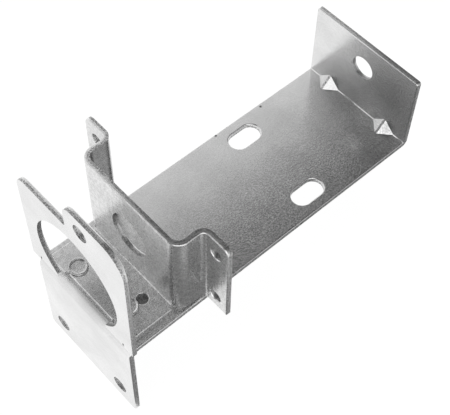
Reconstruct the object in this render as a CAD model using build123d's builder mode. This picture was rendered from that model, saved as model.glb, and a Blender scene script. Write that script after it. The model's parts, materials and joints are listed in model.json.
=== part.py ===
from build123d import *
from math import atan, sin, sqrt
import os

# Ball popper bracket: a long folded strip that carries a coil between an upturned end plate and a
# hat-shaped mount, and a ring plate at the front that a ball passes through.
# The origin is on the flat front face, midway between the two front screw holes.
# X runs back along the base, Y to the left, Z up. Sizes are in millimetres.

# The stock that both sheets are folded from
sheet = 1.5

# Coil frame: the long strip
strip_width = 38.1
front_drop = 34.3
front_hole_rise = 6.6
front_hole_spacing = 25.4
front_hole_d = 5.2
front_corner_r = 1.6
front_bend_r = 1.3
base_reach = 101.55
end_height = 25.45
end_corner_r = 1.6
end_bend_r = 0.6
end_hole_d = 7.5
slot_reach = 68.9
slot_spacing = 25.8
slot_length = 10.5
slot_width = 6.1
dart_spacing = 22.2
dart_leg = 3.6
dart_width = 8.0

# Height of the coil's axis and of the ball opening over the base
coil_axis_height = 16.2
ball_axis_height = 15.8

# Ball ring bracket: the ring plate, its two legs and the foot
ring_width = 41.6
ring_height = 36.2
ring_bottom_gap = 1.5
ring_corner_r = 3.6
ball_hole_d = 31.75
ear_height = 45.2
ear_edge_y = 1.2
ear_corner_r = 8.0
ear_step_r = 0.8
ear_hole_y = -5.0
ear_hole_drop = 5.3
ear_hole_d = 5.0
leg_bend_r = 1.0
leg_slit = 0.5
leg_slit_height = 3.4
opening_half = 10.0
opening_height = 3.5
foot_edge_reach = 2.8
foot_width = 33.6
relief_r = 0.7

# Ball ring bracket: the hat-shaped coil mount
hat_reach = 16.8
hat_height = 31.2
hat_width = 37.6
hat_bend_r = 2.3
hat_foot_bend_r = 1.0
hat_hole_d = 13.4
hat_bottom_gap = 1.1
hat_notch = 0.9
hat_relief = 1.9
hat_relief_reach = 2.6
flange_reach = 25.45
flange_span = 54.6
flange_bend_r = 1.5
flange_corner_r = 2.0
flange_hole_edge = 4.3
flange_hole_low = 5.6
flange_hole_high = 25.5
flange_hole_d = 3.8

# Rivets and the rivet holes
rivet_d = 3.1
rivet_clearance = 0.05
rivet_head_d = 5.3
rivet_head_height = 0.6
rivet_dish_depth = 0.35
rivet_rim = 0.5
rivet_tail_d = 5.0
rivet_tail_height = 0.9
left_rivet = (5.8, 8.9)
right_rivet = (8.2, -9.1)
spare_hole = (12.4, -9.4)

# Levels and planes that follow from the sizes
base_top = front_drop - front_hole_rise
base_bottom = base_top - sheet
foot_top = base_top + sheet
coil_axis = base_top + coil_axis_height
ball_axis = base_top + ball_axis_height
strip_bottom = -front_hole_rise
end_top = base_top + end_height
rivet_hole_r = rivet_d / 2 + rivet_clearance
rivet_spots = [left_rivet, right_rivet]
through = 4 * sheet

os.makedirs("parts", exist_ok=True)


# Wedge that a pressed dart raises inside the back bend, standing on Y = 0
# Its ridge runs at 45 degrees from the base to the end plate, and its two sides fall to the bend line
dart_depth = dart_leg / sqrt(2)
dart_half_angle = atan(dart_width / 2 / dart_depth)
dart_slope = dart_width / 2 / dart_depth
dent_shift = sheet / sin(dart_half_angle)
dart_plane = Plane(
    origin=(base_reach - dart_leg / 2, 0, base_top + dart_leg / 2),
    x_dir=(0, 1, 0),
    z_dir=(1, 0, 1),
)
wedge_base = dart_depth + sheet / 2
dent_base = dart_depth + through

with BuildPart() as dart_wedge:
    with BuildSketch(dart_plane):
        with BuildLine():
            Polyline(
                (0, 0),
                (wedge_base * dart_slope, -wedge_base),
                (-wedge_base * dart_slope, -wedge_base),
                close=True,
            )
        make_face()
    extrude(amount=dart_leg, both=True)
    split(bisect_by=Plane.XY.offset(base_top - sheet / 4), keep=Keep.TOP)
    split(bisect_by=Plane.YZ.offset(base_reach + sheet / 4), keep=Keep.BOTTOM)

# Dent left on the outside of the bend, one sheet thickness behind the wedge's two sides
with BuildPart() as dart_dent:
    with BuildSketch(dart_plane):
        with BuildLine():
            Polyline(
                (0, -dent_shift),
                ((dent_base - dent_shift) * dart_slope, -dent_base),
                (-(dent_base - dent_shift) * dart_slope, -dent_base),
                close=True,
            )
        make_face()
    extrude(amount=2 * dart_leg, both=True)


# Coil frame: front plate, base and end plate folded from one strip
with BuildPart() as coil_frame:
    with BuildSketch(Plane.XZ):
        with BuildLine():
            FilletPolyline(
                (0, strip_bottom),
                (0, base_top),
                (base_reach, base_top),
                (base_reach, end_top),
                radius=[front_bend_r + sheet, end_bend_r],
            )
            offset(amount=sheet, side=Side.RIGHT)
        make_face()
    extrude(amount=strip_width / 2, both=True)

    # Rounded free corners of the front plate and the end plate
    upright_corners = coil_frame.edges().filter_by(Axis.X)
    fillet(upright_corners.group_by(Axis.Z)[0], radius=front_corner_r)
    upright_corners = coil_frame.edges().filter_by(Axis.X)
    fillet(upright_corners.group_by(Axis.Z)[-1], radius=end_corner_r)

    # Two darts pressed into the back bend
    with Locations((0, dart_spacing / 2, 0), (0, -dart_spacing / 2, 0)):
        add(dart_wedge.part)
        add(dart_dent.part, mode=Mode.SUBTRACT)

    # Screw holes in the front plate
    with BuildSketch(Plane.YZ):
        with GridLocations(front_hole_spacing, 0, 2, 1):
            Circle(front_hole_d / 2)
    extrude(amount=through, both=True, mode=Mode.SUBTRACT)

    # Hole in the end plate, on the coil's axis
    with BuildSketch(Plane.YZ.offset(base_reach)):
        with Locations((0, coil_axis)):
            Circle(end_hole_d / 2)
    extrude(amount=through, both=True, mode=Mode.SUBTRACT)

    # Slots and rivet holes in the base
    with BuildSketch(Plane.XY.offset(base_top)):
        with Locations((slot_reach, slot_spacing / 2), (slot_reach, -slot_spacing / 2)):
            SlotOverall(slot_length, slot_width)
        with Locations(*rivet_spots):
            Circle(rivet_hole_r)
    extrude(amount=-through, mode=Mode.SUBTRACT)


# Ball ring bracket: ring plate, foot and hat folded from one sheet
ring_bottom = base_top + ring_bottom_gap
ring_top = base_top + ring_height
ear_top = base_top + ear_height
ear_hole_z = ear_top - ear_hole_drop
slit_top = base_top + leg_slit_height
hat_wall_bottom = base_top + hat_foot_bend_r + sheet
hat_bottom = base_top + hat_bottom_gap
hat_top = base_top + hat_height
hat_back = hat_reach + sheet
rear_bend_width = foot_width - 2 * hat_notch
flange_hole_rise = (flange_hole_low + flange_hole_high) / 2
flange_hole_pitch = flange_hole_high - flange_hole_low
flange_hole_spacing = flange_span - 2 * flange_hole_edge

with BuildPart() as ball_ring_bracket:
    # Front wall, webs and flanges of the hat, one folded profile in plan
    with BuildSketch(Plane.XY.offset(hat_bottom)):
        with BuildLine():
            FilletPolyline(
                (flange_reach, flange_span / 2),
                (flange_reach, hat_width / 2),
                (hat_reach, hat_width / 2),
                (hat_reach, -hat_width / 2),
                (flange_reach, -hat_width / 2),
                (flange_reach, -flange_span / 2),
                radius=[flange_bend_r, hat_bend_r + sheet, hat_bend_r + sheet, flange_bend_r],
            )
            offset(amount=sheet, side=Side.LEFT)
        make_face()
    extrude(amount=hat_top - hat_bottom)

    # Rounded upper corners of the flanges
    top_edges = ball_ring_bracket.edges().filter_by(Axis.X).group_by(Axis.Z)[-1]
    top_edges = top_edges.group_by(Axis.Y)
    fillet(top_edges[0] + top_edges[-1], radius=flange_corner_r)

    # The front wall stops short of the base, where the foot bends up into it,
    # and a relief is cut under the two bends beside it
    with BuildSketch(Plane.XY.offset(hat_bottom)):
        with Locations((hat_reach, 0)):
            Rectangle(hat_relief_reach, hat_width, align=(Align.MIN, Align.CENTER))
    extrude(amount=hat_relief - hat_bottom_gap, mode=Mode.SUBTRACT)
    with BuildSketch(Plane.XY.offset(hat_bottom)):
        with Locations((hat_reach, 0)):
            Rectangle(hat_relief_reach, rear_bend_width, align=(Align.MIN, Align.CENTER))
    extrude(amount=hat_wall_bottom - hat_bottom, mode=Mode.SUBTRACT)

    # Ring plate with the ear at its right
    with BuildSketch(Plane.YZ):
        with BuildLine():
            outline = FilletPolyline(
                (ring_width / 2, ring_bottom),
                (ring_width / 2, ring_top),
                (ear_edge_y, ring_top),
                (ear_edge_y, ear_top),
                (-ring_width / 2, ear_top),
                (-ring_width / 2, ring_bottom),
                radius=[ring_corner_r, ear_step_r, ring_corner_r, ear_corner_r],
            )
            Line(outline @ 1, outline @ 0)
        make_face()
        # A window for the two legs, a slit wider than they are at each side
        with Locations((0, ring_bottom)):
            Rectangle(foot_width + 2 * leg_slit, 2 * (slit_top - ring_bottom), mode=Mode.SUBTRACT)
    extrude(amount=sheet)

    # Foot with its bend down from the ring plate
    with BuildSketch(Plane.XZ):
        with BuildLine():
            FilletPolyline(
                (0, slit_top + sheet),
                (0, base_top),
                (hat_reach - hat_notch, base_top),
                radius=leg_bend_r + sheet,
            )
            offset(amount=sheet, side=Side.LEFT)
        make_face()
    extrude(amount=foot_width / 2, both=True)

    # Bend up from the foot into the hat's front wall, a little narrower than the foot
    with BuildSketch(Plane.XZ):
        with BuildLine():
            FilletPolyline(
                (hat_reach / 2, base_top),
                (hat_back, base_top),
                (hat_back, hat_wall_bottom + sheet),
                radius=hat_foot_bend_r + sheet,
            )
            offset(amount=sheet, side=Side.LEFT)
        make_face()
    extrude(amount=rear_bend_width / 2, both=True)

    # Ball opening and screw hole in the ear
    with BuildSketch(Plane.YZ):
        with Locations((0, ball_axis)):
            Circle(ball_hole_d / 2)
        with Locations((ear_hole_y, ear_hole_z)):
            Circle(ear_hole_d / 2)
    extrude(amount=sheet, mode=Mode.SUBTRACT)

    # The opening runs down through the bend to the foot, with a round relief at each end of its edge
    with BuildSketch(Plane.XY.offset(base_top)):
        with Locations((foot_edge_reach, 0)):
            Rectangle(2 * foot_edge_reach, 2 * opening_half, align=(Align.MAX, Align.CENTER))
        with Locations(
            (foot_edge_reach, opening_half - relief_r),
            (foot_edge_reach, relief_r - opening_half),
        ):
            Circle(relief_r)
    extrude(amount=opening_height, mode=Mode.SUBTRACT)

    # Coil hole and flange holes of the hat
    with BuildSketch(Plane.YZ.offset(hat_reach)):
        with Locations((0, coil_axis)):
            Circle(hat_hole_d / 2)
        with Locations((0, base_top + flange_hole_rise)):
            with GridLocations(flange_hole_spacing, flange_hole_pitch, 2, 2):
                Circle(flange_hole_d / 2)
    extrude(amount=flange_reach + through - hat_reach, mode=Mode.SUBTRACT)

    # Rivet holes and the spare hole in the foot
    with BuildSketch(Plane.XY.offset(foot_top)):
        with Locations(*rivet_spots, spare_hole):
            Circle(rivet_hole_r)
    extrude(amount=-sheet, mode=Mode.SUBTRACT)


# One rivet standing on the base's top, with a low domed tail head and a dished upper head
head_r = rivet_head_d / 2
head_top = sheet + rivet_head_height
rim_side = head_top - rivet_rim / 2
rim_inner = head_r - rivet_rim
dish_bottom = head_top - rivet_dish_depth
tail_r = rivet_tail_d / 2
tail_bottom = -sheet - rivet_tail_height

with BuildPart() as rivet:
    with BuildSketch(Plane.XZ):
        with BuildLine():
            TangentArc((0, tail_bottom), (tail_r, -sheet), tangent=(1, 0))
            Polyline(
                (tail_r, -sheet),
                (rivet_d / 2, -sheet),
                (rivet_d / 2, sheet),
                (head_r, sheet),
                (head_r, rim_side),
                (head_r - rivet_rim / 2, head_top),
                (rim_inner, rim_side),
            )
            TangentArc((0, dish_bottom), (rim_inner, rim_side), tangent=(1, 0))
            Line((0, dish_bottom), (0, tail_bottom))
        make_face()
    revolve(axis=Axis.Z)

with BuildPart() as foot_rivets:
    with Locations(*[(x, y, base_top) for x, y in rivet_spots]):
        add(rivet.part)

coil_frame.part.label = "coil_frame"
ball_ring_bracket.part.label = "ball_ring_bracket"
foot_rivets.part.label = "foot_rivets"

export_step(coil_frame.part, "parts/coil_frame.step")
export_step(ball_ring_bracket.part, "parts/ball_ring_bracket.step")
export_step(foot_rivets.part, "parts/foot_rivets.step")
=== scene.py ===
# %% [markdown]
# # A riveted bracket of bright zinc-plated sheet, dressed for its photograph
# The real object is two folded steel sheets and two rivets. The CAD frame already has every bend and hole
# at its real size. What it lacks is what makes pressed steel look real close up: bends that are smooth
# curves, edges that a punch rolled over on one side, and a plating that mirrors the room softly.
# So the sheets are folded again here, in fine steps, inside the CAD pieces' own boxes.

# %% Load the frame
import bmesh
import bpy
import json
from bmesh.types import BMEdge, BMVert
from math import cos, hypot, pi, radians, sin, sqrt
from mathutils import Matrix, Vector


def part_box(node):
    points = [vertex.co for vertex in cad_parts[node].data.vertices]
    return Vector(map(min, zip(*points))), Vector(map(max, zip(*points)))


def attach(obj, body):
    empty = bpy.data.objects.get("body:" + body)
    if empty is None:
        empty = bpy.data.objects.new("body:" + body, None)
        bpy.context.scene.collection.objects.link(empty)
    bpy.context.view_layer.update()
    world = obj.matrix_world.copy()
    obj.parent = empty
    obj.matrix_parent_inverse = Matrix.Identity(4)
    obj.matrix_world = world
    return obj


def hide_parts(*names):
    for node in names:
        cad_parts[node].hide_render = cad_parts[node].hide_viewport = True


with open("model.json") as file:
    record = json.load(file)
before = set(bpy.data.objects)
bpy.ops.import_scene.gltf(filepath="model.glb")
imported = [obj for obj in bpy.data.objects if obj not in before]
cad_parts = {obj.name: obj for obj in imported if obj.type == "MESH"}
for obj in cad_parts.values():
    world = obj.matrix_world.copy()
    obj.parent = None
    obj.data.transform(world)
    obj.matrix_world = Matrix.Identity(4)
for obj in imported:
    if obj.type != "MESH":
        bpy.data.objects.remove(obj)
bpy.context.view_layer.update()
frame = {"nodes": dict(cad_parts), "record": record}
mounts = {mount["name"]: mount for mount in frame["record"]["mounts"]}
print("nodes:", sorted(frame["nodes"]))

# %% [markdown]
# Blender works in metres, but a sheet-metal drawing is in millimetres. Every length in this script is in
# millimetres, and each piece is scaled once, when it is finished. The sheet's thickness, the mounting holes
# and the outer limits are read from the frame, so the new sheets can't drift away from the CAD.

# %% Sizes that the frame gives
MM = 0.001


def box_in_mm(node):
    low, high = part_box(node)
    return low / MM, high / MM


def mount_in_mm(name):
    return Vector(mounts[name]["pos_m"]) / MM


strip_low, strip_high = box_in_mm("coil_frame")
bracket_low, bracket_high = box_in_mm("ball_ring_bracket")
SHEET = mounts["ear_screw"]["dims"]["length_mm"]
base_top = bracket_low.z
print("sheet", SHEET, "mm, base top", round(base_top, 2), "mm")

# %% [markdown]
# Three finishes are needed from the start. A sheet's faces are brightly plated. Its cut edges aren't: where a
# punch goes in, it first burnishes the steel, and then the rest of the thickness tears, so every cut edge
# has a lighter band and a darker, rougher one. The slots are given out now, and the finishes made later.

# %% Finishes by slot
ZINC, BURNISHED, TORN = 0, 1, 2
FINISH_NAMES = ("bright zinc plate", "burnished cut edge", "torn cut edge")
finishes = [bpy.data.materials.new(name) for name in FINISH_NAMES]
print("finishes:", ", ".join(FINISH_NAMES))

# %% [markdown]
# ## Folding a sheet
# A press brake makes a flat run, then a bend, then the next run. A finished bracket could also be cut from a
# solid block, but then the inside of a bend and its outside would be shaped apart and might not agree. Here
# two bmesh operators fold an edge that lies across the strip: extrude_edge_only draws a flat run, and spin
# draws a bend about its own axis. The result is one surface of the sheet.

# %% Runs and bends
BEND_STEPS = 14
UP = (0, 0, 1)
BACK = (1, 0, 0)
ACROSS = (0, 1, 0)


def only(kind, items):
    return [item for item in items if isinstance(item, kind)]


def first_edge(sheet, start, end):
    return [sheet.edges.new([sheet.verts.new(start), sheet.verts.new(end)])]


def run(sheet, edges, move):
    made = bmesh.ops.extrude_edge_only(sheet, edges=edges)["geom"]
    bmesh.ops.translate(sheet, verts=only(BMVert, made), vec=move)
    return only(BMEdge, made)


def bend(sheet, edges, centre, axis, angle):
    made = bmesh.ops.spin(
        sheet,
        geom=edges,
        cent=centre,
        axis=axis,
        angle=radians(angle),
        steps=BEND_STEPS,
        use_duplicate=False,
    )
    return only(BMEdge, made["geom_last"])


print("a bend has", BEND_STEPS, "steps")

# %% [markdown]
# A blank's free corners are rounded by the die that cuts it, so that they don't snag. On the drawn surface a
# corner is a single vertex, and a vertex bevel turns it into an arc, which is far simpler than to round the
# two edges of a thick plate afterwards.

# %% Rounded corners
CORNER_STEPS = 10


def corner_at(sheet, place):
    return min(sheet.verts, key=lambda vert: (vert.co - Vector(place)).length)


def round_corner(sheet, place, radius):
    bmesh.ops.bevel(
        sheet,
        geom=[corner_at(sheet, place)],
        affect="VERTICES",
        offset=radius,
        segments=CORNER_STEPS,
        profile=0.5,
        material=-1,
    )


print("a rounded corner has", CORNER_STEPS, "steps")

# %% [markdown]
# A bmesh is only a working copy. To be seen, it needs a mesh and an object. Modifiers could stay live to the
# end, but the next step works on real vertices, so each modifier's result is written into the mesh at once.

# %% Objects and settled modifiers
def make_object(name, mesh_tool):
    mesh = bpy.data.meshes.new(name)
    mesh_tool.to_mesh(mesh)
    mesh_tool.free()
    for material in finishes:
        mesh.materials.append(material)
    piece = bpy.data.objects.new(name, mesh)
    bpy.context.scene.collection.objects.link(piece)
    return piece


def settle(piece):
    shape = piece.evaluated_get(bpy.context.evaluated_depsgraph_get())
    mesh = bpy.data.meshes.new_from_object(shape)
    piece.modifiers.clear()
    piece.data = mesh


print("every piece starts with", len(finishes), "finishes")

# %% [markdown]
# A cut edge is never quite sharp. On the burnished side the blade drags the surface down into a roll-over,
# and on the torn side it leaves a tiny burr. In the photograph the roll-over is a thin bright line beside a
# dark core. A Bevel modifier could round every edge alike. Here the two sides differ, so the edges to bevel
# are found by the finishes on their two sides, while they are still simple loops.

# %% Roll-over
ROLL = 0.34
ROLL_STEPS = 3
BURR = 0.05


def roll_over(shell, slot, radius, steps, finish):
    rolled = []
    for edge in shell.edges:
        if sorted(face.material_index for face in edge.link_faces) == [ZINC, slot]:
            rolled.append(edge)
    bmesh.ops.bevel(
        shell,
        geom=rolled,
        affect="EDGES",
        offset=radius,
        segments=steps,
        profile=0.5,
        material=finish,
        clamp_overlap=False,
        loop_slide=False,
    )


print("roll-over", ROLL, "mm, burr", BURR, "mm")

# %% [markdown]
# Half of the cut edge's height is burnished and half is torn. Which half is torn depends on the side that the
# blade came from, so each sheet says whether it is the side that was drawn. The vertices are compared by
# their places, because cutting the band in two makes new ones.

# %% The two bands of a cut edge
PLACES = 4


def same_place(vert):
    return vert.co.to_tuple(PLACES)


def cut_edge_bands(piece, drawn_count, roll, drawn_is_torn):
    shell = bmesh.new()
    shell.from_mesh(piece.data)
    drawn = {same_place(vert) for vert in shell.verts[:][:drawn_count]}
    across = [
        edge
        for edge in shell.edges
        if all(face.material_index == BURNISHED for face in edge.link_faces)
    ]
    bmesh.ops.subdivide_edges(shell, edges=across, cuts=1)
    for face in shell.faces:
        touches_drawn = any(same_place(vert) in drawn for vert in face.verts)
        if face.material_index == BURNISHED and touches_drawn == drawn_is_torn:
            face.material_index = TORN
    roll_over(shell, BURNISHED, roll, ROLL_STEPS, ZINC)
    roll_over(shell, TORN, BURR, 1, TORN)
    shell.to_mesh(piece.data)
    shell.free()


print("places are compared to", PLACES, "decimals")

# %% [markdown]
# A Solidify modifier gives the folded surface its thickness. Both sides of every bend stay true arcs, and the
# sheared edges stand square to the surface as real ones do. Its offset of -1 puts the steel behind the drawn
# side, and its rim gets the cut edge's finish.

# %% From a surface to a solid sheet
SAME_POINT = 0.001


def thicken(name, sheet, side, roll=ROLL, drawn_is_torn=True):
    bmesh.ops.remove_doubles(sheet, verts=sheet.verts, dist=SAME_POINT)
    bmesh.ops.recalc_face_normals(sheet, faces=sheet.faces)
    if sheet.faces[:][0].normal.dot(side) < 0:
        bmesh.ops.reverse_faces(sheet, faces=sheet.faces)
    drawn_count = len(sheet.verts)
    piece = make_object(name, sheet)
    wall = piece.modifiers.new("sheet thickness", "SOLIDIFY")
    wall.thickness = SHEET
    wall.offset = -1
    wall.use_even_offset = True
    wall.material_offset_rim = BURNISHED
    settle(piece)
    cut_edge_bands(piece, drawn_count, roll, drawn_is_torn)
    return piece


print("a sheet is", SHEET, "mm thick")

# %% [markdown]
# ## Punching
# Each hole is cut by a tool of its own, as in the press. Holes could be drawn in the surface before it is
# thickened, but they would have to be woven into every flat run. A round tool is a turned shape, so half of
# its outline is spun about its axis, and it flares where it enters, to leave the roll-over in the sheet.

# %% Outline of a round punch
THROUGH = 4 * SHEET
HOLE_STEPS = 72
# How far out and how far down the flare goes, as shares of the roll-over's radius
FLARE = ((1.15, -0.06), (0.5, 0.12), (0.18, 0.42), (0.0, 1.0))


def turn(mesh_tool, points, centre, steps):
    corners = [mesh_tool.verts.new(point) for point in points]
    profile = [mesh_tool.edges.new(pair) for pair in zip(corners, corners[1:])]
    bmesh.ops.spin(
        mesh_tool,
        geom=corners + profile,
        cent=centre,
        axis=UP,
        angle=2 * pi,
        steps=steps,
        use_merge=True,
    )


def punch_outline(radius, length, roll):
    flare = [(radius + out * roll, SHEET / 2 - down * roll) for out, down in FLARE]
    half = length / 2
    return [(0, half), (flare[0][0], half), *flare, (radius, 0), (radius, -half), (0, -half)]


print("a round hole has", HOLE_STEPS, "sides")

# %% [markdown]
# The tool is made upright, its finishes are given out by height, and then it is turned and moved to its hole.
# The Boolean will pass a tool's finish on to the wall that it leaves: burnished above the middle of the
# sheet, torn below it, and plated on the roll-over.

# %% Round punches
TOOL_WELD = 0.0001


def fresh_faces(tools, earlier):
    return [face for face in tools.faces if face not in earlier]


def verts_of(faces):
    return list(dict.fromkeys(vert for face in faces for vert in face.verts))


def punch(tools, centre, axis, radius, length=THROUGH, roll=ROLL):
    earlier = set(tools.faces)
    start = Matrix.Rotation(pi / HOLE_STEPS, 3, "Z")
    points = [start @ Vector((out, 0, height)) for out, height in punch_outline(radius, length, roll)]
    turn(tools, points, (0, 0, 0), HOLE_STEPS)
    bmesh.ops.remove_doubles(tools, verts=verts_of(fresh_faces(tools, earlier)), dist=TOOL_WELD)
    fresh = fresh_faces(tools, earlier)
    bmesh.ops.recalc_face_normals(tools, faces=fresh)
    for face in fresh:
        height = face.calc_center_median().z
        if height < SHEET / 2 - roll:
            face.material_index = BURNISHED if height > 0 else TORN
    made = verts_of(fresh)
    aim = Vector(UP).rotation_difference(Vector(axis)).to_matrix().to_4x4()
    bmesh.ops.transform(tools, matrix=Matrix.Translation(centre) @ aim, verts=made)
    return made


print("a punch is", THROUGH, "mm long")

# %% [markdown]
# A slot is punched by an oblong tool. It could be drawn as an outline of its own, but a round tool whose two
# halves are pulled apart is the same shape. Straight cuts are made by plain boxes.

# %% Slot and box punches
def punch_slot(tools, centre, length, width):
    rim = punch(tools, centre, UP, width / 2)
    for way in (1, -1):
        half = [vert for vert in rim if (vert.co.x - centre[0]) * way > 0]
        bmesh.ops.translate(tools, verts=half, vec=(way * (length - width) / 2, 0, 0))


def punch_box(tools, low, high):
    made = bmesh.ops.create_cube(tools, size=1)["verts"]
    for face in {face for vert in made for face in vert.link_faces}:
        face.material_index = BURNISHED
    bmesh.ops.scale(tools, verts=made, vec=Vector(high) - Vector(low))
    bmesh.ops.translate(tools, verts=made, vec=(Vector(low) + Vector(high)) / 2)


print("a slot is one round punch, pulled apart in two halves")

# %% [markdown]
# All the tools for one sheet are closed shapes in a single mesh, so one Boolean takes them all out at once.
# The exact solver is slower than the fast one, but it copes with faces that lie in one plane, as they do
# wherever a tool meets a folded sheet squarely.

# %% Add and take away
def combine(piece, other, operation):
    join = piece.modifiers.new(operation.lower(), "BOOLEAN")
    join.operation = operation
    join.solver = "EXACT"
    join.object = other
    settle(piece)
    bpy.data.objects.remove(other)
    print(operation.lower(), "leaves", piece.name, "with", len(piece.data.polygons), "faces")


# %% [markdown]
# ## The coil frame
# One strip: the front plate hangs down from the base, and the end plate stands up behind. The surface that
# is drawn is the one that runs over the front, along the base's top and up the end plate's face. The end
# plate's bend is drawn tighter than the CAD's, since its highlight is hair thin in the photograph.

# %% Fold the coil frame
front_bend_r = 1.3
end_bend_r = 0.35
plate_corner_r = 1.4
end_corner_r = 0.8
strip_half = strip_high.y
end_face = strip_high.x - SHEET
front_outer_r = front_bend_r + SHEET

sheet = bmesh.new()
edges = first_edge(sheet, (0, -strip_half, strip_low.z), (0, strip_half, strip_low.z))
edges = run(sheet, edges, (0, 0, base_top - front_outer_r - strip_low.z))
edges = bend(sheet, edges, (front_outer_r, 0, base_top - front_outer_r), ACROSS, 90)
edges = run(sheet, edges, (end_face - end_bend_r - front_outer_r, 0, 0))
edges = bend(sheet, edges, (end_face - end_bend_r, 0, base_top + end_bend_r), ACROSS, -90)
edges = run(sheet, edges, (0, 0, strip_high.z - base_top - end_bend_r))
for side in (1, -1):
    round_corner(sheet, (0, side * strip_half, strip_low.z), plate_corner_r)
    round_corner(sheet, (end_face, side * strip_half, strip_high.z), end_corner_r)
coil_sheet = thicken("coil_frame_sheet", sheet, Vector((-1, 0, 0)), drawn_is_torn=False)
print("coil frame:", len(coil_sheet.data.polygons), "faces")

# %% [markdown]
# ### The two darts
# A dart is a small wedge that a blunt tool pushes into a bend, so that the end plate can't lean back. Seen
# from inside it is a ridge at 45 degrees with a triangle on each side. It could be pulled out of the bend
# vertex by vertex, but a triangular prism along the ridge has just these faces. Its ridge is bevelled and
# given the torn edge's darker finish, so that it shows as a dark line.

# %% A dart's prism
dart_spacing = 22.2
dart_leg = 3.6
dart_width = 8.0
dart_depth = dart_leg / sqrt(2)
dart_slope = dart_width / 2 / dart_depth
ridge_bevel = 0.45
ridge_way = Vector((1, 0, 1)).normalized()
ridge_out = Vector((-1, 0, 1)).normalized()
corner = Vector((end_face, 0, base_top))


def draw_out(tools, face, move):
    made = bmesh.ops.extrude_face_region(tools, geom=[face])["geom"]
    far = only(BMVert, made)
    bmesh.ops.translate(tools, verts=far, vec=move)
    return far


def dart_prism(tools, y, apex, foot, half_length):
    ends = []
    for depth, spread in ((apex, 0), (foot, 1), (foot, -1)):
        sideways = Vector((0, y + spread * (apex - foot) * dart_slope, 0))
        ends.append(tools.verts.new(corner + sideways + ridge_out * depth - ridge_way * half_length))
    far = draw_out(tools, tools.faces.new(ends), ridge_way * half_length * 2)
    apex_end = min(far, key=lambda vert: (vert.co - ends[0].co).cross(ridge_way).length)
    bmesh.ops.bevel(
        tools,
        geom=[tools.edges.get((ends[0], apex_end))],
        affect="EDGES",
        offset=ridge_bevel,
        segments=3,
        profile=0.5,
        # the ridge gets the torn edge's darker finish, so that it shows as a dark line
        material=TORN,
    )


print("a dart's ridge stands", round(dart_depth, 2), "mm out of the corner")

# %% [markdown]
# The wedge that stands inside the bend mustn't come out at the sheet's back, so it is cut off a quarter of
# the sheet's thickness below each of the two faces. The dent's tool is left whole.

# %% Dart tools
def cut_off(tools, place, outward):
    cut = bmesh.ops.bisect_plane(
        tools,
        geom=tools.verts[:] + tools.edges[:] + tools.faces[:],
        plane_co=place,
        plane_no=outward,
        clear_outer=True,
    )["geom_cut"]
    bmesh.ops.edgeloop_fill(tools, edges=only(BMEdge, cut))


def dart_tools(name, apex, foot, half_length, trim):
    tools = bmesh.new()
    for side in (1, -1):
        dart_prism(tools, side * dart_spacing / 2, apex, foot, half_length)
    if trim:
        cut_off(tools, (0, 0, base_top - SHEET / 4), (0, 0, -1))
        cut_off(tools, (end_face + SHEET / 4, 0, 0), BACK)
    bmesh.ops.recalc_face_normals(tools, faces=tools.faces)
    return make_object(name, tools)


print("darts are", dart_spacing, "mm apart")

# %% [markdown]
# One pair of prisms joined to the bend gives the darts, and a second pair, one sheet thickness further out,
# presses the dents behind them.

# %% Press the darts
dent_shift = SHEET / (dart_slope / hypot(1, dart_slope))
wedge_foot = -SHEET / 2
dent_foot = -THROUGH
combine(coil_sheet, dart_tools("dart wedge", dart_depth, wedge_foot, dart_leg, True), "UNION")
dents = dart_tools("dart dent", dart_depth - dent_shift, dent_foot, 2 * dart_leg, False)
combine(coil_sheet, dents, "DIFFERENCE")

# %% [markdown]
# The coil frame has two screw holes in its front plate, two slots in its base and one hole in its end
# plate. They are punched after the folding, because a hole that is folded with the strip would stretch.
# The places and radii of the round ones come from the mounts that the frame records.

# %% Punch the coil frame
slot_length = 10.5
slot_width = 6.1
slot_spacing = 25.8
front_screws = mounts["front_screws"]["dims"]
end_hole = mount_in_mm("end_hole")

tools = bmesh.new()
for side in (1, -1):
    place = (SHEET / 2, side * front_screws["spacing_x_mm"] / 2, 0)
    punch(tools, place, BACK, front_screws["hole_r_mm"])
    middle = (mount_in_mm("base_slots").x, side * slot_spacing / 2, base_top - SHEET / 2)
    punch_slot(tools, middle, slot_length, slot_width)
punch(tools, end_hole, BACK, mounts["end_hole"]["dims"]["r_mm"])
combine(coil_sheet, make_object("coil frame punches", tools), "DIFFERENCE")

# %% [markdown]
# ## The ring bracket
# One blank makes the ring plate, its two legs, the foot and the hat behind it. The ring plate starts as one
# face on the front plane, with a slit at each side of the legs. The alternative, a plate and a foot that are
# joined afterwards, would leave a seam across the bend.

# %% Draw the ring plate
ring_half = 20.8
ring_bottom = base_top + 1.5
ring_top = base_top + 36.2
ring_corner_r = 3.6
ear_edge = 1.2
ear_step_r = 0.8
ear_corner_r = 8.0
foot_half = 16.8
leg_slit = 0.5
slit_top = base_top + 3.4
window_half = foot_half + leg_slit

sheet = bmesh.new()
outline = [
    (ring_half, ring_bottom),
    (ring_half, ring_top),
    (ear_edge, ring_top),
    (ear_edge, bracket_high.z),
    (-ring_half, bracket_high.z),
    (-ring_half, ring_bottom),
    (-window_half, ring_bottom),
    (-window_half, slit_top),
    (-foot_half, slit_top),
    (foot_half, slit_top),
    (window_half, slit_top),
    (window_half, ring_bottom),
]
sheet.faces.new([sheet.verts.new((0, y, z)) for y, z in outline])
print("ring plate:", round(bracket_high.z - ring_bottom, 2), "mm high")

# %% [markdown]
# The edge between the slits is folded under the plate to make the foot, and the foot's far edge is folded up
# to meet the hat's front wall. A bend that turns under or up is again a spin, so the two sides of the sheet
# stay parallel through it. Then the plate's own corners are rounded.

# %% Fold the foot
foot_bend_r = 1.0 + SHEET
rear_bend_r = 0.3 + SHEET
ring_roll = 0.3
hat_front = mount_in_mm("hat_coil_hole").x - SHEET / 2
hat_back = hat_front + SHEET
bend_level = base_top + foot_bend_r

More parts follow.
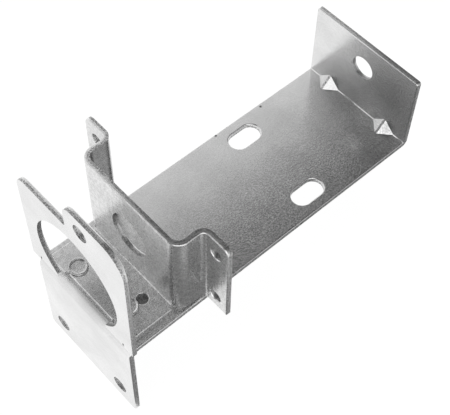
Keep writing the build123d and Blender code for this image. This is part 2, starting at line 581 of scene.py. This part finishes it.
leg_corners = [corner_at(sheet, (0, side * foot_half, slit_top)) for side in (1, -1)]
edges = run(sheet, [sheet.edges.get(leg_corners)], (0, 0, bend_level - slit_top))
edges = bend(sheet, edges, (foot_bend_r, 0, bend_level), ACROSS, -90)
edges = run(sheet, edges, (hat_back - foot_bend_r - rear_bend_r, 0, 0))
edges = bend(sheet, edges, (hat_back - rear_bend_r, 0, base_top + rear_bend_r), ACROSS, -90)
edges = run(sheet, edges, (0, 0, SHEET + foot_bend_r - rear_bend_r))
for y, z, radius in (
    (ring_half, ring_top, ring_corner_r),
    (ear_edge, ring_top, ear_step_r),
    (ear_edge, bracket_high.z, ring_corner_r),
    (-ring_half, bracket_high.z, ear_corner_r),
):
    round_corner(sheet, (0, y, z), radius)
ring_sheet = thicken("ball_ring_bracket_sheet", sheet, Vector((-1, 0, 0)), roll=ring_roll)
print("ring plate and foot:", len(ring_sheet.data.polygons), "faces")

# %% [markdown]
# The hat is the coil's seat: a front wall, two webs that turn back round wide bends, and two flanges that
# turn outwards. It is one open profile, so it is folded from one flange to the other, as the ring plate was,
# but about upright axes. A hat folded from a box with its inside cut away would have no true bends.

# %% Sizes of the hat
hat_half = 18.8
hat_inner = hat_half - SHEET
hat_bend_r = 2.3
flange_outer_r = 1.5 + SHEET
flange_corner_r = 2.0
hat_bottom = base_top + 1.1
hat_top = base_top + 31.2
flange_back = bracket_high.x
flange_half = bracket_high.y
flange_run = flange_half - hat_inner - flange_outer_r
flange_bend_x = flange_back - flange_outer_r
hat_bend_x = hat_back + hat_bend_r
web_run = flange_bend_x - hat_bend_x
print("flange", round(flange_run, 2), "mm and web", round(web_run, 2), "mm flat")

# %% [markdown]
# The profile starts at the left flange's free edge and ends at the right one's, so a bend that turns to the
# right has a negative angle and a bend that turns to the left a positive one.

# %% Fold the hat
sheet = bmesh.new()
edges = first_edge(sheet, (flange_back, flange_half, hat_bottom), (flange_back, flange_half, hat_top))
edges = run(sheet, edges, (0, -flange_run, 0))
edges = bend(sheet, edges, (flange_bend_x, hat_inner + flange_outer_r, 0), UP, -90)
edges = run(sheet, edges, (-web_run, 0, 0))
edges = bend(sheet, edges, (hat_bend_x, hat_inner - hat_bend_r, 0), UP, 90)
edges = run(sheet, edges, (0, 2 * (hat_bend_r - hat_inner), 0))
edges = bend(sheet, edges, (hat_bend_x, hat_bend_r - hat_inner, 0), UP, 90)
edges = run(sheet, edges, (web_run, 0, 0))
edges = bend(sheet, edges, (flange_bend_x, -hat_inner - flange_outer_r, 0), UP, -90)
edges = run(sheet, edges, (0, -flange_run, 0))
for side in (1, -1):
    round_corner(sheet, (flange_back, side * flange_half, hat_top), flange_corner_r)
hat_sheet = thicken("hat", sheet, Vector(BACK))
print("hat:", len(hat_sheet.data.polygons), "faces")

# %% [markdown]
# On the real blank the foot and the hat's wall are one sheet, and small reliefs beside the bend let the webs
# stand free of the base. Here two boxes open the hat's lower edge and two more notch the foot, and then a
# union makes one closed sheet of the two.

# %% Trim the hat and the foot where they meet
foot_notch = 0.9
relief_back = hat_front + 2.6
relief_top = base_top + 1.9
rear_half = foot_half - foot_notch
below = base_top - SHEET
before = hat_front - SHEET
hat_outer = hat_half + SHEET

tools = bmesh.new()
punch_box(tools, (before, -hat_outer, below), (relief_back, hat_outer, relief_top))
combine(hat_sheet, make_object("relief tool", tools), "DIFFERENCE")
tools = bmesh.new()
punch_box(tools, (before, -rear_half, below), (relief_back, rear_half, bend_level))
combine(hat_sheet, make_object("window tool", tools), "DIFFERENCE")
tools = bmesh.new()
for side in (1, -1):
    middle = side * (rear_half + SHEET)
    low = (hat_front - foot_notch, middle - SHEET, below)
    punch_box(tools, low, (hat_back + SHEET, middle + SHEET, bend_level + THROUGH))
combine(ring_sheet, make_object("notch tools", tools), "DIFFERENCE")
combine(ring_sheet, hat_sheet, "UNION")

# %% [markdown]
# The ring bracket's round holes are plain punches: the ball opening, one screw hole in the ear, the coil's
# hole in the hat, four small holes in the flanges, and three rivet holes in the foot, of which one is spare.
# The flanges' tools point the other way, so the roll-over of those holes is at the front, as on their edges.

# %% Punch the ring bracket
ball_hole_r = 15.875
ball_axis = base_top + 15.8
ball_punch_length = SHEET + 0.5
rivet_hole_r = 1.6
rivet_spots = ((5.8, 8.9), (8.2, -9.1))
spare_hole = (12.4, -9.4)
flange_middle = mount_in_mm("flange_screws")
flange_screws = mounts["flange_screws"]["dims"]

tools = bmesh.new()
punch(tools, (SHEET / 2, 0, ball_axis), BACK, ball_hole_r, ball_punch_length)
for name in ("ear_screw", "hat_coil_hole"):
    punch(tools, mount_in_mm(name), BACK, mounts[name]["dims"]["r_mm"])
for side in (1, -1):
    for level in (1, -1):
        sideways = side * flange_screws["spacing_x_mm"] / 2
        upward = level * flange_screws["spacing_y_mm"] / 2
        place = flange_middle + Vector((0, sideways, upward))
        punch(tools, place, (-1, 0, 0), flange_screws["hole_r_mm"])
for x, y in rivet_spots + (spare_hole,):
    punch(tools, (x, y, base_top + SHEET / 2), UP, rivet_hole_r)
combine(ring_sheet, make_object("ring punches", tools), "DIFFERENCE")

# %% [markdown]
# The ball opening runs out through the bend below it, which leaves the ring plate standing on two legs. This
# cut is a straight one, so its tool is one outline drawn out sideways, with the roll-over's flare in it.

# %% Open the ring through its bend
opening_half = 10.0
opening_top = base_top + 3.5
foot_edge = 2.8
foot_top = base_top + SHEET
UPRIGHT = 0.1

tools = bmesh.new()
flare = [(foot_edge + out * ROLL, foot_top - down * ROLL) for out, down in FLARE[2::-1]]
outline = [(-SHEET, below), (foot_edge, below), (foot_edge, foot_top - ROLL), *flare]
outline += [(foot_edge + FLARE[0][0] * ROLL, opening_top), (-SHEET, opening_top)]
end = tools.faces.new([tools.verts.new((x, -opening_half, z)) for x, z in outline])
draw_out(tools, end, (0, 2 * opening_half, 0))
bmesh.ops.recalc_face_normals(tools, faces=tools.faces)
for face in tools.faces:
    if abs(face.normal.z) < UPRIGHT:
        face.material_index = BURNISHED
combine(ring_sheet, make_object("opening tool", tools), "DIFFERENCE")

# %% [markdown]
# At each end of that cut is a small round relief, so that the sheet doesn't tear when it is folded. The
# circles are smaller than the CAD's, because in the photograph they hardly show.

# %% Corner reliefs
relief_r = 0.45
relief_roll = 0.1
relief_length = SHEET + 1.5
relief_inset = 0.15
relief_y = opening_half - relief_r - relief_inset

tools = bmesh.new()
for side in (1, -1):
    place = (foot_edge, side * relief_y, base_top + SHEET / 2)
    punch(tools, place, UP, relief_r, relief_length, relief_roll)
combine(ring_sheet, make_object("relief punches", tools), "DIFFERENCE")

# %% [markdown]
# ## Finishing a piece
# Flat faces should mirror as flat ones and bends as curves. A Weighted Normal modifier does that: at every
# point the largest face decides which way the surface looks. A subdivision would smooth the bends as well,
# but it would soften the crisp edges too. Then the piece is scaled to metres.

# %% Smooth, scale and hand over
CREASE = radians(35)
WELD = 0.02


def finish_piece(piece, node):
    shell = bmesh.new()
    shell.from_mesh(piece.data)
    bmesh.ops.remove_doubles(shell, verts=shell.verts, dist=WELD)
    bmesh.ops.dissolve_degenerate(shell, edges=shell.edges, dist=WELD)
    shell.to_mesh(piece.data)
    shell.free()
    piece.data.shade_smooth()
    piece.data.set_sharp_from_angle(angle=CREASE)
    evening = piece.modifiers.new("largest face decides", "WEIGHTED_NORMAL")
    evening.keep_sharp = True
    settle(piece)
    piece.data.transform(Matrix.Scale(MM, 4))
    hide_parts(node)
    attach(piece, "root")
    print(piece.name, len(piece.data.vertices), "points")


finish_piece(coil_sheet, "coil_frame")
finish_piece(ring_sheet, "ball_ring_bracket")

# %% [markdown]
# ## Rivets
# Each rivet has a flat head with a low raised rim, from the tool that set it, and a domed tail under the
# base. A cylinder with bevelled ends would lack the rim. A short solid rivet is a turned shape, so half its
# outline, from the dish over the rim and down the shank to the tail, is drawn once and spun about its axis.

# %% Turn the rivets
RIVET_STEPS = 48
rivets_low, rivets_high = box_in_mm("foot_rivets")
head_top = rivets_high.z - base_top
tail_bottom = rivets_low.z - base_top
# Radius, and height over the base
rivet_outline = (
    (0.0, head_top - 0.22),
    (1.85, head_top - 0.22),
    (2.0, head_top - 0.2),
    (2.2, head_top - 0.08),
    (2.33, head_top),
    (2.45, head_top),
    (2.58, head_top - 0.07),
    (2.65, head_top - 0.25),
    (2.65, SHEET),
    (1.55, SHEET),
    (1.55, -SHEET),
    (2.5, -SHEET),
    (2.3, tail_bottom + 0.45),
    (1.4, tail_bottom + 0.1),
    (0.0, tail_bottom),
)
lathe = bmesh.new()
for x, y in rivet_spots:
    points = [(x + radius, y, base_top + height) for radius, height in rivet_outline]
    turn(lathe, points, (x, y, 0), RIVET_STEPS)
bmesh.ops.remove_doubles(lathe, verts=lathe.verts, dist=SAME_POINT)
bmesh.ops.recalc_face_normals(lathe, faces=lathe.faces)
rivets = make_object("foot_rivets_turned", lathe)
finish_piece(rivets, "foot_rivets")

# %% [markdown]
# ## Finishes
# Every finish is built from nodes, because a photographed texture would fit one object only. Colours are
# written as they look on a screen, but Blender reckons with light, so one function makes them linear. The
# other one adds a node and fills its sockets: what is given is either a value or another node's output.

# %% Colours and nodes
def linear(hex_colour):
    channels = [int(hex_colour[i:i + 2], 16) / 255 for i in (1, 3, 5)]
    return [c / 12.92 if c <= 0.04045 else ((c + 0.055) / 1.055) ** 2.4 for c in channels] + [1]


def add_node(tree, kind, settings):
    node = tree.nodes.new(kind)
    for name, value in settings.items():
        if isinstance(value, bpy.types.NodeSocket):
            tree.links.new(value, node.inputs[name])
        elif isinstance(name, int) or name in node.inputs:
            node.inputs[name].default_value = value
        else:
            setattr(node, name, value)
    return node


print("mid grey #808080 is", round(linear("#808080")[0], 3), "linear")

# %% [markdown]
# A few kinds of node come again and again: a fade from one value to another over a range, a sum or product,
# a test that gives 1 within a range, a noise pattern, a ramp of two tones and a colour made darker. Each gets
# a short name. Lengths are given in millimetres here too.

# %% Patterns and sums
def fade(tree, source, start, end, low, high):
    settings = {"Value": source, "From Min": start, "From Max": end, "To Min": low, "To Max": high}
    return add_node(tree, "ShaderNodeMapRange", settings).outputs["Result"]


def fade_along(tree, source, start, end, low, high):
    return fade(tree, source, start * MM, end * MM, low, high)


def maths(tree, operation, first, second):
    return add_node(tree, "ShaderNodeMath", {"operation": operation, 0: first, 1: second}).outputs["Value"]


def within(tree, source, start, end):
    settings = {"operation": "COMPARE", 0: source, 1: (start + end) / 2 * MM, 2: (end - start) / 2 * MM}
    return add_node(tree, "ShaderNodeMath", settings).outputs["Value"]


def noise(tree, place, size, detail, roughness):
    settings = {"Vector": place, "Scale": 1 / (size * MM), "Detail": detail, "Roughness": roughness}
    return add_node(tree, "ShaderNodeTexNoise", settings).outputs["Fac"]


def two_tones(tree, source, *stops):
    ramp = add_node(tree, "ShaderNodeValToRGB", {"Fac": source})
    for element, (position, colour) in zip(ramp.color_ramp.elements, stops):
        element.color = linear(colour)
        element.position = position
    return ramp.outputs["Color"]


def scaled(tree, colour, share):
    settings = {"operation": "SCALE", 0: colour, "Scale": share}
    return add_node(tree, "ShaderNodeVectorMath", settings).outputs["Vector"]


print("a pattern of 1 mm has a scale of", round(1 / MM))

# %% [markdown]
# A finish also asks where it is on the part and which way the surface looks. An unwrapped map could say
# where, but it would need seams. Object coordinates have none, they stay with the piece when it moves, and
# all the pieces share one frame, so a pattern runs on from one to the next.

# %% Place and facing
def object_place(tree):
    place = add_node(tree, "ShaderNodeTexCoord", {}).outputs["Object"]
    return place, add_node(tree, "ShaderNodeSeparateXYZ", {"Vector": place}).outputs


def facing_up(tree):
    facing = add_node(tree, "ShaderNodeNewGeometry", {}).outputs["Normal"]
    return add_node(tree, "ShaderNodeSeparateXYZ", {"Vector": facing}).outputs["Z"]


def distance_to(tree, place, spot):
    settings = {"operation": "DISTANCE", 0: place, 1: Vector(spot) * MM}
    return add_node(tree, "ShaderNodeVectorMath", settings).outputs["Value"]


print("places are in metres, so 1 mm is", MM)

# %% [markdown]
# ### Bright zinc plating
# Zinc is plated on in a bath with a brightener, so it mirrors its surroundings, but the cold-rolled steel
# below keeps a fine grain that blurs the mirror. It gives the eye a cool silver with soft reflections. A flat
# grey would look like paint, so the shader is fully metallic and almost white, and the room gives it its
# greys. A slow noise adds clouds of a slightly darker tone, where the bath was less even.

# %% Zinc: colour
CLOUD = 14

zinc = finishes[ZINC]
zinc.use_nodes = True
tree = zinc.node_tree
shader = tree.nodes["Principled BSDF"]
shader.inputs["Metallic"].default_value = 1.0
place, along = object_place(tree)
cloud = noise(tree, place, CLOUD, 4.0, 0.55)
tint = two_tones(tree, cloud, (0.35, "#E1E1E1"), (0.65, "#F0F0F0"))
print("clouds of", CLOUD, "mm")

# %% [markdown]
# The photograph shows a few darker spots. Painted shade darkens the bottom of the spare hole, two dull clouds
# on the end plate, a patch on the foot below the ring's opening and one in the bend at the right dart. Two
# tiny dark marks sit on the base's left edge. They could be painted, but that would need a picture. Each is a
# ball-shaped fade round its spot instead, and all of them are multiplied into one value.

# %% Zinc: painted shade and dark marks
hole_x, hole_y = spare_hole
# Spot, radius of the full darkening, radius where it ends, and the share of the light that it leaves
shade_spots_and_marks = (
    # painted shade at the bottom of the spare hole
    ((hole_x, hole_y, base_top), 1.5, 1.8, 0.34),
    # painted shade: two dull clouds on the end plate
    ((end_face, -10, base_top + 15), 4, 14, 0.7),
    ((end_face, 4, base_top + 3), 3, 13, 0.72),
    # two tiny dark marks on the base's left edge
    ((79.9, 18.0, base_top), 0.2, 0.5, 0.15),
    ((62.8, 18.6, base_top), 0.2, 0.5, 0.15),
    # painted shade on the foot below the ring's opening
    ((4.6, -2.5, base_top + SHEET), 2.5, 9, 0.74),
    # painted shade in the bend at the right dart
    ((end_face - 1.2, -13.2, base_top + 1.6), 0.8, 2.6, 0.72),
)
shade_and_marks = 1.0
# painted shade and dark marks, multiplied into one value
for spot, near, far, least in shade_spots_and_marks:
    spot_darkening = fade_along(tree, distance_to(tree, place, spot), near, far, least, 1.0)
    shade_and_marks = maths(tree, "MULTIPLY", shade_and_marks, spot_darkening)
print(len(shade_spots_and_marks), "shade_spots_and_marks")

# %% [markdown]
# The rolled steel's grain shows through the plating as a fine sparkle. It makes the gloss uneven, and the
# ring bracket, which was drawn over a die, is a little rougher than the strip. The real grain is about 0.1
# mm, too fine to show here, so it is drawn at 0.4 mm.

# %% Zinc: gloss
GRAIN = 0.4
BRACKET_START, BRACKET_END = 2.5, 26.5
BRACKET_ROUGHER = 0.06

mottle = noise(tree, place, GRAIN, 3.0, 0.6)
on_bracket = within(tree, along["X"], BRACKET_START, BRACKET_END)
rougher = maths(tree, "MULTIPLY", on_bracket, BRACKET_ROUGHER)
rough = maths(tree, "ADD", fade(tree, mottle, 0, 1, 0.14, 0.3), rougher)
tree.links.new(rough, shader.inputs["Roughness"])
print("grain drawn at", GRAIN, "mm")

# %% [markdown]
# In the photograph the grain is strong on the side away from the light and nearly gone on the side near it.
# The pits of the grain trap light, so they darken the metal. How deep they darken by place is painted shade:
# it grows to the right, away from the light, and along the part too: a little behind the ring plate, and more
# on the base behind the hat. Where the two ways disagree, the shallower pits are taken.

# %% Zinc: pits and painted shade
PIT_START, PIT_END = 0.38, 0.62

# From and to in mm, and the share of the light that the pits and painted shade leave at each end
# painted shade: darker to the right, away from the light, behind the ring plate and on the base behind the
# hat
shade_to_right = fade_along(tree, along["Y"], 6, -12, 0.88, 0.66)
shade_behind_hat = fade_along(tree, along["X"], 26, 34, 0.93, 0.6)
shade_behind_ring = fade_along(tree, along["X"], 1.5, 4, 0.96, 0.82)
pit_depth_and_shade = maths(tree, "MAXIMUM", shade_to_right, maths(tree, "MINIMUM", shade_behind_ring, shade_behind_hat))
pits = fade(tree, mottle, PIT_START, PIT_END, pit_depth_and_shade, 1.0)
pitted_and_shaded = scaled(tree, tint, pits)
print("pits lie where the grain is under", PIT_END)

# %% [markdown]
# The hat and the foot are also faintly patchy, about a millimetre across, where the drawing lubricant dried
# under the plating. The grain's noise is too fine for that, so a coarser one is multiplied in.

# %% Zinc: patches
PATCH = 1.1
PATCH_DULLEST, PATCH_BRIGHTEST = 0.85, 1.1

patches = noise(tree, place, PATCH, 3.0, 0.65)
dullest = fade(tree, on_bracket, 0, 1, 1.0, PATCH_DULLEST)
brightest = fade(tree, on_bracket, 0, 1, 1.0, PATCH_BRIGHTEST)
patchy = fade(tree, patches, 0.36, 0.64, dullest, brightest)
# the tint darkened by the grain's pits, painted shade and dark marks
shaded_and_marked = scaled(tree, pitted_and_shaded, maths(tree, "MULTIPLY", shade_and_marks, patchy))
tree.links.new(shaded_and_marked, shader.inputs["Base Color"])
print("patches of", PATCH, "mm")

# %% [markdown]
# Two bumps tilt the mirror. The grain's is less than two hundredths of a millimetre deep and grows to the
# right. On the hat there are faint upright die marks too, where the sheet was drawn over the bends: a noise
# that is stretched twenty times upwards, and kept to upright faces over the length of the hat.

# %% Zinc: grain and die marks
GRAIN_DEPTH = 0.016
STREAK = 1.3
STRETCH = (1, 1, 0.05)
STREAK_DEPTH = 0.05
HAT_START, HAT_END = 16, 28

coarser = fade_along(tree, along["Y"], 8, -12, 0.3, 1.0)
settings = {"Distance": GRAIN_DEPTH * MM, "Height": mottle, "Strength": coarser}
grain = add_node(tree, "ShaderNodeBump", settings)
stretched = add_node(tree, "ShaderNodeMapping", {"Vector": place, "Scale": STRETCH}).outputs["Vector"]
streaks = noise(tree, stretched, STREAK, 2.0, 0.5)
upright = fade(tree, facing_up(tree), 0.8, 0.3, 0, 0.9)
drawn = maths(tree, "MULTIPLY", upright, within(tree, along["X"], HAT_START, HAT_END))
grained = grain.outputs["Normal"]
settings = {"Distance": STREAK_DEPTH * MM, "Height": streaks, "Strength": drawn, "Normal": grained}
die_marks = add_node(tree, "ShaderNodeBump", settings).outputs["Normal"]
tree.links.new(die_marks, shader.inputs["Normal"])
print("zinc has", len(tree.nodes), "nodes")

# %% [markdown]
# ### Struck rivet heads
# A rivet's head has been hammered, so it is rougher than the sheet under it. A copy of the zinc finish with
# its grain at full strength and its pits at full depth everywhere does it, and needs no second recipe.

# %% Rivet heads
grain.name = "grain"
pits.node.name = "pits"
struck = zinc.copy()
struck.name = "struck rivet head"
for name, socket, value in (("grain", "Strength", 1.0), ("pits", "To Min", 0.6)):
    node = struck.node_tree.nodes[name]
    struck.node_tree.links.remove(node.inputs[socket].links[0])
    node.inputs[socket].default_value = value
rivets.data.materials[ZINC] = struck
print(struck.name, "is set")

# %% [markdown]
# ### Cut edges
# Upward edges get painted shade, more of it to the right, away from the light, and behind the ring. The walls
# of the two large holes get painted shade too: all round in the ring's opening, and in the hat's hole on
# every side but the one that faces up. The holes share an axis, so the distance from it finds them without a
# mask.

# %% Painted shade on edges and in holes
UPWARD_SHADE = 0.55
HOLE_SHADE = 0.45
HAT_HOLE_REACH = 7.2


# Painted shade for cut edges: upward edges towards the right, and the walls of the two large holes
def painted_edge_shade(tree, along, up):
    behind_ring = fade_along(tree, along["X"], 5, 12, 0.45, 1)
    upward_behind_ring = maths(tree, "MULTIPLY", fade(tree, up, 0.4, 0.9, 0, 1), behind_ring)
    upward_shade = maths(tree, "MULTIPLY", upward_behind_ring, fade_along(tree, along["Y"], 10, -8, 0, UPWARD_SHADE))
    settings = {"Y": along["Y"], "Z": along["Z"]}
    upright_place = add_node(tree, "ShaderNodeCombineXYZ", settings).outputs["Vector"]
    from_axis = distance_to(tree, upright_place, (0, 0, ball_axis))
    reach = fade_along(tree, along["X"], 2, 3, (ball_hole_r + ROLL) * MM, HAT_HOLE_REACH * MM)
    in_hole = maths(tree, "LESS_THAN", from_axis, reach)
    away_from_up = fade(tree, up, 0.7, 0.1, 0, HOLE_SHADE)
    on_ring = fade_along(tree, along["X"], 3, 2, 0, HOLE_SHADE)
    hole_shade = maths(tree, "MULTIPLY", in_hole, maths(tree, "MAXIMUM", away_from_up, on_ring))
    return maths(tree, "MAXIMUM", upward_shade, hole_shade)


print("grime takes up to", UPWARD_SHADE, "of the light, oil", HOLE_SHADE)

# %% [markdown]
# The burnished band of a cut edge is smeared steel with a thin plating: bright, but rougher than the faces.
# The torn band is a field of tiny pits that trap shade, so it gives the eye a dark speckled line. The tearing
# is drawn at 0.4 mm, two or three times coarser than it is, so that it shows at all.

# %% Cut edges
TEAR = 0.4
TEAR_DEPTH = 0.03

for slot, low, high, smoothest, roughest in (
    (BURNISHED, "#C4C4C4", "#FAFAFA", 0.3, 0.5),
    (TORN, "#8A8A8A", "#ECECEC", 0.45, 0.7),
):
    finishes[slot].use_nodes = True
    tree = finishes[slot].node_tree
    shader = tree.nodes["Principled BSDF"]
    shader.inputs["Metallic"].default_value = 1.0
    place, along = object_place(tree)
    tear = noise(tree, place, TEAR, 3.0, 0.7)
    tone = two_tones(tree, tear, (0.38, low), (0.62, high))
    # the cut edges' tone, darkened by painted shade
    unshaded = maths(tree, "SUBTRACT", 1.0, painted_edge_shade(tree, along, facing_up(tree)))
    bump = add_node(tree, "ShaderNodeBump", {"Strength": 0.3, "Distance": TEAR_DEPTH * MM, "Height": tear})
    tree.links.new(scaled(tree, tone, unshaded), shader.inputs["Base Color"])
    tree.links.new(fade(tree, tear, 0, 1, smoothest, roughest), shader.inputs["Roughness"])
    tree.links.new(bump.outputs["Normal"], shader.inputs["Normal"])
    print(finishes[slot].name, "has", len(tree.nodes), "nodes")

# %% [markdown]
# ## The studio
# The bracket was photographed on white under soft light. It is seen from above, so its upright faces mirror
# the white table, and its flat faces mirror what hangs over it. To the right of the bracket the table lies in
# the bracket's shadow, which is why the faces on that side are dark too. That shadow is painted here as a
# grey sheet seen only in reflections.
#
# The floor is a sheet of white paper. It shows plain white to the camera and in reflections, by a glow that
# only camera and glossy rays see, and a diffuse part keeps the bracket's soft shadow.

# %% White paper
GLOW = 1.04
GLOW_SHARE = 0.92

paper = bpy.data.materials.new("white paper sweep")
paper.use_nodes = True
tree = paper.node_tree
tree.nodes.clear()
ray = add_node(tree, "ShaderNodeLightPath", {}).outputs
seen = maths(tree, "MAXIMUM", ray["Is Camera Ray"], ray["Is Glossy Ray"])
share = maths(tree, "MULTIPLY", seen, GLOW_SHARE)
glow = add_node(tree, "ShaderNodeEmission", {"Color": linear("#FFFFFF"), "Strength": GLOW})
matt = add_node(tree, "ShaderNodeBsdfDiffuse", {"Color": linear("#E8E8E8")})
both = add_node(tree, "ShaderNodeMixShader", {"Fac": share, 1: matt.outputs[0], 2: glow.outputs[0]})
add_node(tree, "ShaderNodeOutputMaterial", {"Surface": both.outputs[0]})
print(GLOW_SHARE, "of the paper's light is glow")

# %% [markdown]
# The front plate reaches below the base, so the floor lies just under its lower edge. It is made very wide,
# because the upright faces mirror it far out.

# %% Floor
FLOOR_DROP = 0.2
FLOOR_HALF = 3000


def cover(piece, material):
    piece.data.transform(Matrix.Scale(MM, 4))
    piece.data.materials.clear()
    piece.data.materials.append(material)


floor_mesh = bmesh.new()
bmesh.ops.create_grid(floor_mesh, x_segments=1, y_segments=1, size=FLOOR_HALF)
bmesh.ops.translate(floor_mesh, verts=floor_mesh.verts, vec=(0, 0, strip_low.z - FLOOR_DROP))
floor = make_object("studio_floor", floor_mesh)
cover(floor, paper)
print("floor at", round(strip_low.z - FLOOR_DROP, 2), "mm")

# %% [markdown]
# The bracket's shadow on the floor to the right is painted as a grey glowing sheet. It lies on the floor to
# the right, seen only in reflections, so the webs, the flange and the right-hand edges turn grey as in the
# photograph, while the floor itself stays white.

# %% Painted floor shadow
PAINTED_SHADOW_GREY = 0.2
painted_shadow_level = strip_low.z - FLOOR_DROP / 2
# Its corners on the floor
painted_shadow_outline = ((-55, -21), (175, -20), (230, -190), (80, -190), (40, -66), (-55, -66))

# The bracket's painted shadow on the floor: a faint grey glow
painted_shadow_finish = bpy.data.materials.new("dark grey card")
painted_shadow_finish.use_nodes = True
tree = painted_shadow_finish.node_tree
tree.nodes.clear()
grey = add_node(tree, "ShaderNodeEmission", {"Color": linear("#FFFFFF"), "Strength": PAINTED_SHADOW_GREY})
add_node(tree, "ShaderNodeOutputMaterial", {"Surface": grey.outputs[0]})

painted_shadow_mesh = bmesh.new()
painted_shadow_mesh.faces.new([painted_shadow_mesh.verts.new((x, y, painted_shadow_level)) for x, y in reversed(painted_shadow_outline)])
# the painted shadow's sheet, seen only in reflections
painted_shadow = make_object("painted_floor_shadow", painted_shadow_mesh)
cover(painted_shadow, painted_shadow_finish)
painted_shadow.visible_camera = False
painted_shadow.visible_diffuse = False
painted_shadow.visible_shadow = False
print("card at", round(painted_shadow_level, 2), "mm")

# %% [markdown]
# The room is a sky of soft boxes. Flat plating mirrors one small patch of it, so the place where a box ends
# draws the line between light and dark on the base. Lamps could do it, but each would have to be moved by
# trial. Here a box is a smooth step over the slope of the direction, sideways or forward, which keeps its
# edges straight, as a softbox's are.

# %% Directions in the room
LOWEST = 0.1

world = bpy.data.worlds.new("soft studio")
bpy.context.scene.world = world
world.use_nodes = True
tree = world.node_tree
tree.nodes.clear()
way = add_node(tree, "ShaderNodeTexCoord", {}).outputs["Generated"]
towards = add_node(tree, "ShaderNodeSeparateXYZ", {"Vector": way}).outputs
height = maths(tree, "MAXIMUM", towards["Z"], LOWEST)
sideways = maths(tree, "DIVIDE", towards["Y"], height)
forward = maths(tree, "DIVIDE", towards["X"], height)


def soft_step(source, start, end, least, most):
    step = fade(tree, source, start, end, least, most)
    step.node.interpolation_type = "SMOOTHSTEP"
    return step


print("slopes are taken over a height of at least", LOWEST)

# %% [markdown]
# There are four lights in this sky: a large box to the left, which the base's left half mirrors; a stronger
# one to the right, for the edges and bends that lean that way, and weaker behind; a weak narrow one in front,
# for the bends across the strip; and pale walls low down near the camera. The brightest counts at each place.

# %% Soft boxes
# Where each step starts and ends, and the light on its two sides
left_box = soft_step(sideways, 0.5, 0.54, 0, 0.94)
near_side = soft_step(forward, 0.1, -0.3, 0.34, 1.0)
right_box = maths(tree, "MULTIPLY", soft_step(sideways, -0.35, -0.6, 0, 1.5), near_side)
front_edge = soft_step(forward, 0.1, -0.2, 0, 0.34)
front_box = maths(tree, "MULTIPLY", front_edge, soft_step(forward, -0.5, -0.34, 0, 1.0))
walls = maths(tree, "MULTIPLY", soft_step(towards["Z"], 0.56, 0.3, 0, 0.85), near_side)
brightest = left_box
for light in (right_box, front_box, walls):
    brightest = maths(tree, "MAXIMUM", brightest, light)
print("four lights in the sky")

# %% [markdown]
# A little light from everywhere keeps the darkest reflections from going black. The camera itself sees a
# plain white room, so that the background is white beyond the floor too.

# %% World
AMBIENT = 0.05

level = maths(tree, "ADD", brightest, AMBIENT)
room = add_node(tree, "ShaderNodeBackground", {"Color": linear("#FFFFFF"), "Strength": level})
white = add_node(tree, "ShaderNodeBackground", {"Color": linear("#FFFFFF"), "Strength": 1.0})
ray = add_node(tree, "ShaderNodeLightPath", {}).outputs["Is Camera Ray"]
mix = add_node(tree, "ShaderNodeMixShader", {"Fac": ray, 1: room.outputs[0], 2: white.outputs[0]})
add_node(tree, "ShaderNodeOutputWorld", {"Surface": mix.outputs[0]})
print("world has", len(tree.nodes), "nodes")

# %% [markdown]
# One large lamp overhead lights the paper and lays a faint shadow under the bracket. It stays out of the
# reflections, because the sky above already has the boxes that the plating should show.

# %% Lamp
LAMP_SIZE = 700
LAMP_WATTS = 6
lamp_place = Vector((-100, 100, 900))
lamp_target = Vector((50, 0, 20))

lamp = bpy.data.lights.new("overhead box", "AREA")
lamp.shape = "SQUARE"
lamp.size = LAMP_SIZE * MM
lamp.energy = LAMP_WATTS
stand = bpy.data.objects.new("overhead box", lamp)
stand.location = lamp_place * MM
stand.rotation_euler = (lamp_target - lamp_place).to_track_quat("-Z", "Y").to_euler()
stand.visible_glossy = False
bpy.context.scene.collection.objects.link(stand)
print("lamp of", LAMP_WATTS, "W at", round(lamp_place.z), "mm")

# %% [markdown]
# The camera stands at the front right and looks down steeply. Its place, turn and focal length were found
# by fitting the CAD's corners to the photograph, in pixels of a 450 pixel wide frame.

# %% Camera
IMAGE_WIDTH = 450
FOCAL_PIXELS = 1079.85
SENSOR = 36
NEAREST = 0.01
azimuth = radians(-43.3616)
elevation = radians(55.9090)
roll = radians(1.6380)
camera_place = Vector((-66.20, -122.77, 273.70))

back = Vector((sin(azimuth) * cos(elevation), -cos(azimuth) * cos(elevation), sin(elevation)))
level = Vector(UP).cross(back).normalized()
upward = back.cross(level)
right = level * cos(roll) + upward * sin(roll)
top = upward * cos(roll) - level * sin(roll)
lens = bpy.data.cameras.new("camera")
lens.sensor_width = SENSOR
lens.lens = FOCAL_PIXELS * SENSOR / IMAGE_WIDTH
lens.clip_start = NEAREST
camera = bpy.data.objects.new("camera", lens)
camera.matrix_world = Matrix.Translation(camera_place * MM) @ Matrix((right, top, back)).transposed().to_4x4()
bpy.context.scene.collection.objects.link(camera)
bpy.context.scene.camera = camera
bpy.context.scene.view_settings.view_transform = "Standard"
print("lens of", round(lens.lens, 1), "mm")
